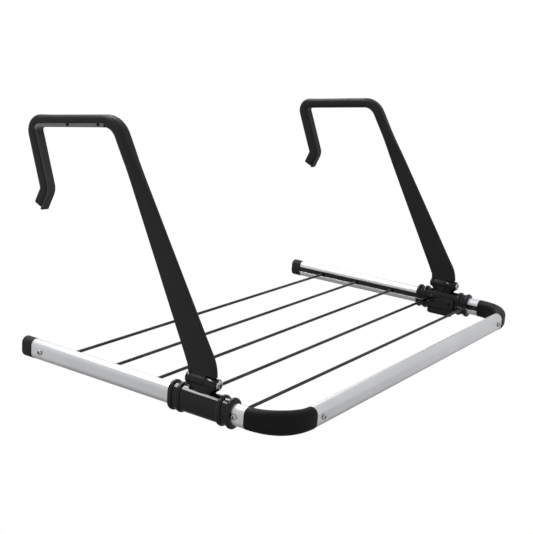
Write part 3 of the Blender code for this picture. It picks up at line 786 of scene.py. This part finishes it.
def build_elbow(label, side, mat):
    """Solid quarter bend with rounded rims and a spigot in each tube."""
    radius = SIDE_X - FRONT_HALF_X - GAP / 2
    centre = Vector((side * (SIDE_X - radius), radius, 0))
    quarter = radius * math.pi / 2
    ends = rounded_ends(0.0, quarter, ELBOW_RIM)
    half = len(ends) // 2
    middle = [(quarter * i / ELBOW_STEPS, 0.0) for i in range(2, ELBOW_STEPS - 1)]
    rings = []
    for along, inset in ends[:half] + middle + ends[half:]:
        angle = along / radius
        outwards = Vector((side * math.cos(angle), -math.sin(angle), 0))
        proud = MOULDING_PROUD + ELBOW_BULGE * math.sin(2 * angle) ** 2 - inset
        ring = []
        for a, b in oval(TUBE_HALF_W + proud, TUBE_HALF_H + proud):
            ring.append(centre + outwards * (radius + a) + Vector((0, 0, b)))
        rings.append(ring)
    elbow = new_object("elbow", skin(rings), Matrix.Translation(ORIGIN))
    spigot = oval(BORE_HALF_W - GAP, BORE_HALF_H - GAP)
    side_part = along_y(spigot, side * SIDE_X, radius - SPIGOT_ROOT, radius + SPIGOT_LENGTH)
    inner = side * (SIDE_X - radius - SPIGOT_LENGTH)
    outer = side * (SIDE_X - radius + SPIGOT_ROOT)
    combine(elbow, "UNION", side_part, along_x(spigot, 0.0, inner, outer))
    show(f"elbow_{label}", elbow, mat)


def build_end_cap(label, side, mat):
    """Cap with a rounded end face and a spigot in the tube."""
    x = side * SIDE_X
    half_w = TUBE_HALF_W + MOULDING_PROUD
    half_h = TUBE_HALF_H + MOULDING_PROUD
    start = TUBE_END_Y + GAP
    stations = [(start + d, inset) for d, inset in rim(CAP_OPEN_RIM)]
    stations += [(CAP_END_Y - d, inset) for d, inset in reversed(rim(CAP_FACE_RIM, 8))]
    sunk, inset = CAP_FACE_CHAMFER
    stations.append((CAP_END_Y - sunk, inset))
    rings = []
    for y, inset in stations:
        rings.append([Vector((x + a, y, b)) for a, b in oval(half_w - inset, half_h - inset)])
    cap = new_object("cap", skin(rings), Matrix.Translation(ORIGIN))
    spigot = oval(BORE_HALF_W - GAP, BORE_HALF_H - GAP)
    inner = TUBE_END_Y - SPIGOT_LENGTH - CAP_SPIGOT_EXTRA
    combine(cap, "UNION", along_y(spigot, x, inner, start + CAP_SPIGOT_EXTRA))
    show(f"end_cap_{label}", cap, mat)


def collar_stations():
    """Places along Y with the height of the rib there, from 0 to 1."""
    stations = []
    for centre in RIB_CENTRES_Y:
        for i in range(RIB_STEPS + 1):
            angle = math.pi * i / RIB_STEPS
            stations.append((centre - RIB_HALF_LENGTH * math.cos(angle), math.sin(angle) ** 0.8))
    return stations


def barrel(y0, y1, radius=BARREL_RADIUS, rounding=0.0):
    """A length of the hinge barrel, about the hinge axis."""
    return rod_shape(radius, (0, y0, 0), (0, y1, 0), rounding=rounding)


def boss_shape(x):
    """Foot that carries the hinge on the collar: an oval below that widens into the barrel."""
    heights, *settings = zip(*BOSS_LEVELS)
    rings = []
    for z in np.linspace(heights[0], heights[-1], BOSS_STEPS):
        half_x, y0, y1, power = (float(np.interp(z, heights, values)) for values in settings)
        outline = squircle(half_x, (y1 - y0) / 2, power)
        rings.append([Vector((x + a, (y0 + y1) / 2 + b, z)) for a, b in outline])
    return skin(rings)


def build_collar(label, side, mat):
    x = side * SIDE_X
    rings = []
    for y, rise in collar_stations():
        outline = oval(COLLAR_HALF_W + RIB_RISE_W * rise, COLLAR_HALF_H + RIB_RISE_H * rise)
        rings.append([Vector((x + a, y, b)) for a, b in outline])
    collar = new_object("collar", skin(rings), Matrix.Translation(ORIGIN))
    axis = Matrix.Translation((x, 0, HINGE_Z))
    ears = [turned(barrel(*ear, rounding=BARREL_ROUNDING), axis) for ear in (FRONT_EAR_Y, BACK_EAR_Y)]
    combine(collar, "UNION", boss_shape(x), *ears)
    bore = oval(TUBE_HALF_W + COLLAR_BORE_GAP, TUBE_HALF_H + COLLAR_BORE_GAP)
    near, far = (-side * distance for distance in COLLAR_SLOT_X)
    slot = [(near, -COLLAR_SLOT_HALF_H), (far, -COLLAR_SLOT_HALF_H),
            (far, COLLAR_SLOT_HALF_H), (near, COLLAR_SLOT_HALF_H)]
    pocket_start = BACK_EAR_Y[1] - NUT_HEIGHT - GAP
    cuts = [
        turned(barrel(FRONT_EAR_Y[1], BACK_EAR_Y[0], BARREL_RADIUS + GAP), axis),
        turned(barrel(*PIN_HOLE_Y, PIN_HOLE_RADIUS), axis),
        turned(barrel(pocket_start, NUT_POCKET_END_Y, NUT_RADIUS + GAP), axis),
        along_y(bore, x, *COLLAR_BORE_Y),
        along_y(slot, x, *COLLAR_BORE_Y),
    ]
    combine(collar, "DIFFERENCE", *cuts)
    show(f"collar_{label}", collar, mat)


def plate_outline(inset):
    """Plate with a round-edged lip, as (distance in from the tube's axis, height) pairs.

    The inset lowers the top and raises the lip's edge.
    """
    back = COLLAR_HALF_W + GAP
    face = back + PLATE_THICKNESS
    lip = face + PLATE_LIP_PROUD
    top = PLATE_TOP_Z - inset
    outline = [(back, top)]
    for i in range(7):
        angle = math.pi / 2 * (1 - i / 6)
        across = face - PLATE_TOP_ROUNDING * (1 - math.cos(angle))
        outline.append((across, top - PLATE_TOP_ROUNDING * (1 - math.sin(angle))))
    # The shoulder is a smooth S out to the lip.
    for i in range(9):
        share = i / 8
        ease = share * share * (3 - 2 * share)
        outline.append((face + PLATE_LIP_PROUD * ease, PLATE_BEND_Z - PLATE_SHOULDER * share))
    radius = (lip - back) / 2
    low = PLATE_LIP_Z + radius + inset
    for i in range(25):
        angle = math.pi * i / 24
        outline.append((back + radius * (1 + math.cos(angle)), low - radius * math.sin(angle)))
    return outline


def build_clamp_plate(label, side, mat):
    """Plate over the collar's slot, with a round-edged lip below and rounded corners."""
    back = COLLAR_HALF_W + GAP
    rings = []
    for y, inset in rounded_ends(*PLATE_Y, PLATE_END_ROUNDING, 10):
        rings.append([Vector((side * (SIDE_X - a), y, b)) for a, b in plate_outline(inset)])
    plate = new_object("plate", skin(rings), Matrix.Translation(ORIGIN))
    soften(plate, PLATE_EDGE_ROUNDING, 3, 50)
    half = COLLAR_SLOT_HALF_H - GAP
    near = -side * (STRIP_FACE + TONGUE_CLEAR_OF_STRIP)
    far = -side * (back + TONGUE_INTO_PLATE)
    tongue = [(near, -half), (far, -half), (far, half), (near, half)]
    tongue_ends = (PLATE_Y[0] + TONGUE_INSET_Y, PLATE_Y[1] - TONGUE_INSET_Y)
    combine(plate, "UNION", along_y(tongue, side * SIDE_X, *tongue_ends))
    holes = []
    reach = Vector((CLAMP_HOLE_REACH, 0, 0))
    for name in ("front", "back"):
        spot = box_centre(f"clamp_screw_{name}_{label}") - ORIGIN
        holes.append(rod_shape(CLAMP_SCREW[2] + GAP, spot - reach, spot + reach, HOLE_STEPS))
    combine(plate, "DIFFERENCE", *holes)
    show(f"clamp_plate_{label}", plate, mat)


# --- Arms -------------------------------------------------------------------------------------------


def arm_path():
    """Samples of the rounded centre line: point, tangent and distance from the hinge end."""
    corners = [Vector((y - HINGE_Y, z - HINGE_Z)) for y, z in ARM_LINE]
    samples = [(corners[0], (corners[1] - corners[0]).normalized())]
    for i, radius in enumerate(ARM_CORNER_RADII, start=1):
        before = (corners[i] - corners[i - 1]).normalized()
        after = (corners[i + 1] - corners[i]).normalized()
        turn = before.angle_signed(after)
        entry = corners[i] - before * radius * math.tan(abs(turn) / 2)
        start = samples[-1][0]
        lengths = max(1, round((entry - start).length / SECTION_STEP))
        for k in range(1, lengths):
            samples.append((start.lerp(entry, k / lengths), before))
        # The centre of the arc lies on the side that the line turns to.
        side = 1 if turn < 0 else -1
        centre = entry + Vector((-before.y, before.x)) * radius * side
        steps = max(5, round(math.degrees(abs(turn)) / 4))
        for k in range(steps + 1):
            turn_by = Matrix.Rotation(abs(turn) * k / steps * side, 2)
            samples.append((centre + turn_by @ (entry - centre), turn_by @ before))
    last = corners[-1]
    tangent = (last - corners[-2]).normalized()
    start = samples[-1][0]
    for k in range(1, 5):
        samples.append((start.lerp(last, k / 4), tangent))
    distance = 0.0
    path = [(samples[0][0], samples[0][1], 0.0)]
    for (point, _), (following, tangent) in zip(samples, samples[1:]):
        distance += (following - point).length
        path.append((following, tangent, distance))
    return path


def section_at(distance):
    """Width in the arm's plane and thickness along X, eased over a short length."""
    places, widths, thicknesses = zip(*ARM_SECTIONS)
    around = distance + SECTION_BLUR * np.linspace(-1, 1, 15)
    width = float(np.interp(around, places, widths).mean())
    thickness = float(np.interp(around, places, thicknesses).mean())
    return width, thickness


def to_inner_side(tangent):
    """Unit vector from the centre line to the side that faces the rail."""
    return Vector((tangent.y, -tangent.x))


def bar_start_index(path):
    """Index of the first sample on the straight bar of the hook, past the big bend."""
    heights = [point.y for point, _, _ in path]
    top = heights.index(max(heights))
    slope = (Vector(ARM_LINE[3]) - Vector(ARM_LINE[2])).normalized()
    return next(i for i in range(top, len(path)) if path[i][1].dot(slope) > 0.9999)


def pad_start_index(path):
    """Index of the sample where the pad begins, a short lead before the bar."""
    bar_distance = path[bar_start_index(path)][2]
    return next(i for i, sample in enumerate(path) if sample[2] > bar_distance - PAD_LEAD)


def pad_thickness(point):
    """The pad is thick under the bar and thinner down the leg."""
    drop = ARM_LINE[3][1] - HINGE_Z - point.y
    return PAD_BAR_THICKNESS if drop < HOOK_THICKNESS * 0.5 else PAD_LEG_THICKNESS


def hook_rings(path, side, outline_at, start_shift, end_shift):
    """Sections along the hook's inner face; outline_at gives (across, depth) pairs for a sample."""
    first, last = pad_start_index(path), len(path) - 1
    rings = []
    for i in range(first, last + 1):
        point, tangent, _ = path[i]
        inner = to_inner_side(tangent)
        place = point.copy()
        if i == first:
            place -= tangent * start_shift
        if i == last:
            place += tangent * end_shift
        spots = [(u, place + inner * depth) for u, depth in outline_at(path[i])]
        rings.append([Vector((side * u, spot.x, spot.y)) for u, spot in spots])
    return rings


def channel_outline(sample):
    """Section of the channel that holds the pad."""
    point, _, distance = sample
    width, thickness = section_at(distance)
    inner_x = -(thickness / 2 - PAD_WALL) - GAP
    near = width / 2 - pad_thickness(point) - GAP
    far = width / 2 + CHANNEL_PAST_FACE
    outer_x = thickness / 2 + CHANNEL_PAST_SIDE
    return ((inner_x, near), (outer_x, near), (outer_x, far), (inner_x, far))


def pad_outline(sample):
    """Section of the pad: rounded edges and two grooves along its gripping face."""
    point, _, distance = sample
    width, thickness = section_at(distance)
    inner_x = -(thickness / 2 - PAD_WALL)
    outer_x = thickness / 2 - PAD_RECESS
    near = width / 2 - pad_thickness(point)
    far = width / 2
    floor = far - PAD_GROOVE_DEPTH
    mouth, bottom = PAD_GROOVE_HALF_WIDTHS
    outline = [(inner_x, near), (outer_x - PAD_CHAMFER, near), (outer_x, near + PAD_CHAMFER),
               (outer_x, far - PAD_CHAMFER), (outer_x - PAD_CHAMFER, far)]
    span = outer_x - inner_x
    for share in PAD_GROOVE_SHARES:
        middle = inner_x + span * share
        outline += [(middle + mouth, far), (middle + bottom, floor), (middle - bottom, floor),
                    (middle - mouth, far)]
    outline += [(inner_x + PAD_CHAMFER, far), (inner_x, far - PAD_CHAMFER)]
    return outline


def arm_matrix(label, side):
    return Matrix.Translation(HINGE_OF[f"{label}_arm"]) @ Matrix.Rotation(-side * ARM_LEAN, 4, "Y")


def pad_screw_holes(label, side, place):
    """Cutters for the two pad screws, in the arm's own places."""
    holes = []
    inwards, outwards = PAD_HOLE_REACH
    for name in ("front", "back"):
        spot = place.inverted() @ box_centre(f"pad_screw_{name}_{label}")
        ends = (spot - Vector((side * inwards, 0, 0)), spot + Vector((side * outwards, 0, 0)))
        holes.append(rod_shape(PAD_SCREW[2] + GAP, *ends, 20))
    return holes


def build_arm(label, side, mat):
    path = arm_path()
    rings = []
    for point, tangent, distance in path:
        width, thickness = section_at(distance)
        inner = to_inner_side(tangent)
        radius = EDGE_ROUNDING * min(width, thickness)
        ring = []
        for across, along in rounded_rectangle(thickness / 2, width / 2, radius):
            spot = point + inner * along
            ring.append(Vector((side * across, spot.x, spot.y)))
        rings.append(ring)
    place = arm_matrix(label, side)
    arm = new_object("arm", skin(rings), place)
    knuckle_y = [y - HINGE_Y for y in KNUCKLE_Y]
    half = section_at(0.0)[1] / 2 - WEB_INSET
    base = ARM_LINE[0][1] - HINGE_Z
    levels = [(base * share, half + flare) for share, flare in WEB_LEVELS]
    levels.append((base + WEB_INTO_ARM, half))
    web = []
    for z, reach in levels:
        web.append([Vector((sx * reach, y, z)) for sx, y in
                    ((-1, knuckle_y[0]), (1, knuckle_y[0]), (1, knuckle_y[1]), (-1, knuckle_y[1]))])
    combine(arm, "UNION", barrel(*knuckle_y, rounding=KNUCKLE_ROUNDING), skin(web))
    channel = skin(hook_rings(path, side, channel_outline, GAP, CHANNEL_PAST_TIP))
    cuts = [barrel(-0.03, 0.03, PIN_HOLE_RADIUS), channel, *pad_screw_holes(label, side, place)]
    combine(arm, "DIFFERENCE", *cuts)
    show(f"hook_arm_{label}", arm, mat)


def build_pad(label, side, mat):
    path = arm_path()
    place = arm_matrix(label, side)
    pad = new_object("pad", skin(hook_rings(path, side, pad_outline, 0.0, PAD_TIP_OVERHANG)), place)
    combine(pad, "DIFFERENCE", *pad_screw_holes(label, side, place))
    show(f"grip_pad_{label}", pad, mat)


# --- Rack -------------------------------------------------------------------------------------------


def build_rack():
    tube_side = aluminium_material("satin_aluminium_side", 1)
    tube_front = aluminium_material("satin_aluminium_front", 0)
    zinc = screw_material("bright_zinc", (0.28, 0.27, 0.26), (0.60, 0.60, 0.60), (0.74, 0.74, 0.75))
    dark_steel = screw_material("blackened_steel", (0.012, 0.012, 0.012), (0.030, 0.029, 0.028),
                                (0.060, 0.058, 0.056))
    # Near-black material painted into the screw recesses as painted shade.
    recess_shade = moulded_material(
        "recess_painted_shade", dark=(0.004, 0.004, 0.004), light=(0.012, 0.011, 0.010),
        roughness=(0.50, 0.80), specular=0.20, grain_scale=2500, grain_depth=0.000010)
    satin = moulded_material(
        "satin_black", dark=(0.0055, 0.0058, 0.0066), light=(0.0100, 0.0104, 0.0114),
        roughness=(0.38, 0.50), specular=0.27, grain_scale=1500, grain_depth=0.000022)
    dull = moulded_material(
        "dull_black", dark=(0.0030, 0.0030, 0.0034), light=(0.0062, 0.0062, 0.0068),
        roughness=(0.40, 0.55), specular=0.16, grain_scale=1300, grain_depth=0.000030)
    gloss = moulded_material(
        "gloss_black", dark=(0.0015, 0.0015, 0.0017), light=(0.0035, 0.0035, 0.0040),
        roughness=(0.06, 0.11), specular=0.36, grain_scale=700, grain_depth=0.000006)
    grained = moulded_material(
        "grained_black", dark=(0.006, 0.006, 0.0064), light=(0.026, 0.026, 0.027),
        roughness=(0.45, 0.66), specular=0.25, grain_scale=1100, grain_depth=0.000120)
    rubber = pad_material()

    build_front_tube(tube_front)
    build_rods(rod_material())
    for number, (label, side) in enumerate(SIDES):
        build_side_tube(label, side, tube_side)
        build_rod_strip(label, side, grained)
        build_elbow(label, side, dull)
        build_end_cap(label, side, grained)
        build_collar(label, side, gloss)
        build_clamp_plate(label, side, gloss)
        build_arm(label, side, satin)
        build_pad(label, side, rubber)
        build_nut(label, zinc)
        outward = Vector((side, 0, 0))
        forward = Vector((0, -1, 0))
        leaning = (arm_matrix(label, side).to_3x3() @ outward).normalized()
        build_screw(f"corner_screw_{label}", outward, FRAME_SCREW, zinc, recess_shade, 0.4 + number)
        build_screw(f"cap_screw_{label}", outward, FRAME_SCREW, zinc, recess_shade, 0.9 - number)
        build_screw(f"front_screw_{label}", forward, FRAME_SCREW, zinc, recess_shade, 0.2 + number)
        build_screw(f"hinge_screw_{label}", forward, HINGE_SCREW, zinc, recess_shade, 0.6 + number)
        for turn, name in enumerate(("front", "back")):
            clamp_screw, pad_screw = f"clamp_screw_{name}_{label}", f"pad_screw_{name}_{label}"
            build_screw(clamp_screw, -outward, CLAMP_SCREW, dark_steel, recess_shade, 0.3 + turn)
            build_screw(pad_screw, leaning, PAD_SCREW, dark_steel, recess_shade, 0.7 + turn)


# --- Stage ------------------------------------------------------------------------------------------


def build_floor():
    half = FLOOR_SIZE / 2
    shape = bmesh.new()
    corners = ((-half, -half, 0), (half, -half, 0), (half, half, 0), (-half, half, 0))
    shape.faces.new([shape.verts.new(corner) for corner in corners])
    height = cad_bounds[0][2] - FLOOR_DROP
    floor = new_object("floor", shape, Matrix.Translation((0, 0, height)))
    floor.data.materials.append(floor_material())


def build_panel():
    """A long soft light above and behind the rack, aimed at its middle."""
    target = Vector((0, ORIGIN.y + 0.15, ORIGIN.z + 0.05))
    place = target + PANEL_OFFSET
    data = bpy.data.lights.new("sky_panel", "AREA")
    data.shape = "RECTANGLE"
    data.size, data.size_y = PANEL_SIZE
    data.energy = PANEL_RADIANCE * math.pi * PANEL_SIZE[0] * PANEL_SIZE[1]
    data.color = PANEL_COLOUR
    lamp = bpy.data.objects.new("sky_panel", data)
    bpy.context.scene.collection.objects.link(lamp)
    lamp.location = place
    lamp.rotation_euler = (target - place).to_track_quat("-Z", "Y").to_euler()


def build_room():
    """Even light from all round, and a white background for the camera."""
    world = bpy.data.worlds.new("studio")
    bpy.context.scene.world = world
    world.use_nodes = True
    nodes = world.node_tree.nodes
    room = nodes["Background"]
    room.inputs["Color"].default_value = (0.985, 0.992, 1.0, 1.0)
    room.inputs["Strength"].default_value = ROOM_LIGHT
    white = nodes.new("ShaderNodeBackground")
    white.inputs["Color"].default_value = (1.0, 1.0, 1.0, 1.0)
    seen, lit = white.outputs["Background"], room.outputs["Background"]
    seen_or_lit(world.node_tree, seen, lit, nodes["World Output"])


def build_camera():
    forward = Vector((
        math.sin(CAMERA_AZIMUTH) * math.cos(CAMERA_PITCH),
        math.cos(CAMERA_AZIMUTH) * math.cos(CAMERA_PITCH),
        math.sin(CAMERA_PITCH),
    ))
    data = bpy.data.cameras.new("camera")
    data.lens = CAMERA_LENS
    data.sensor_width = SENSOR
    camera = bpy.data.objects.new("camera", data)
    bpy.context.scene.collection.objects.link(camera)
    level = forward.to_track_quat("-Z", "Y").to_matrix().to_4x4()
    camera.matrix_world = Matrix.Translation(CAMERA_PLACE) @ level @ Matrix.Rotation(CAMERA_ROLL, 4, "Z")
    bpy.context.scene.camera = camera


build_rack()
build_floor()
build_panel()
build_room()
build_camera()
bpy.context.scene.view_settings.view_transform = "Standard"
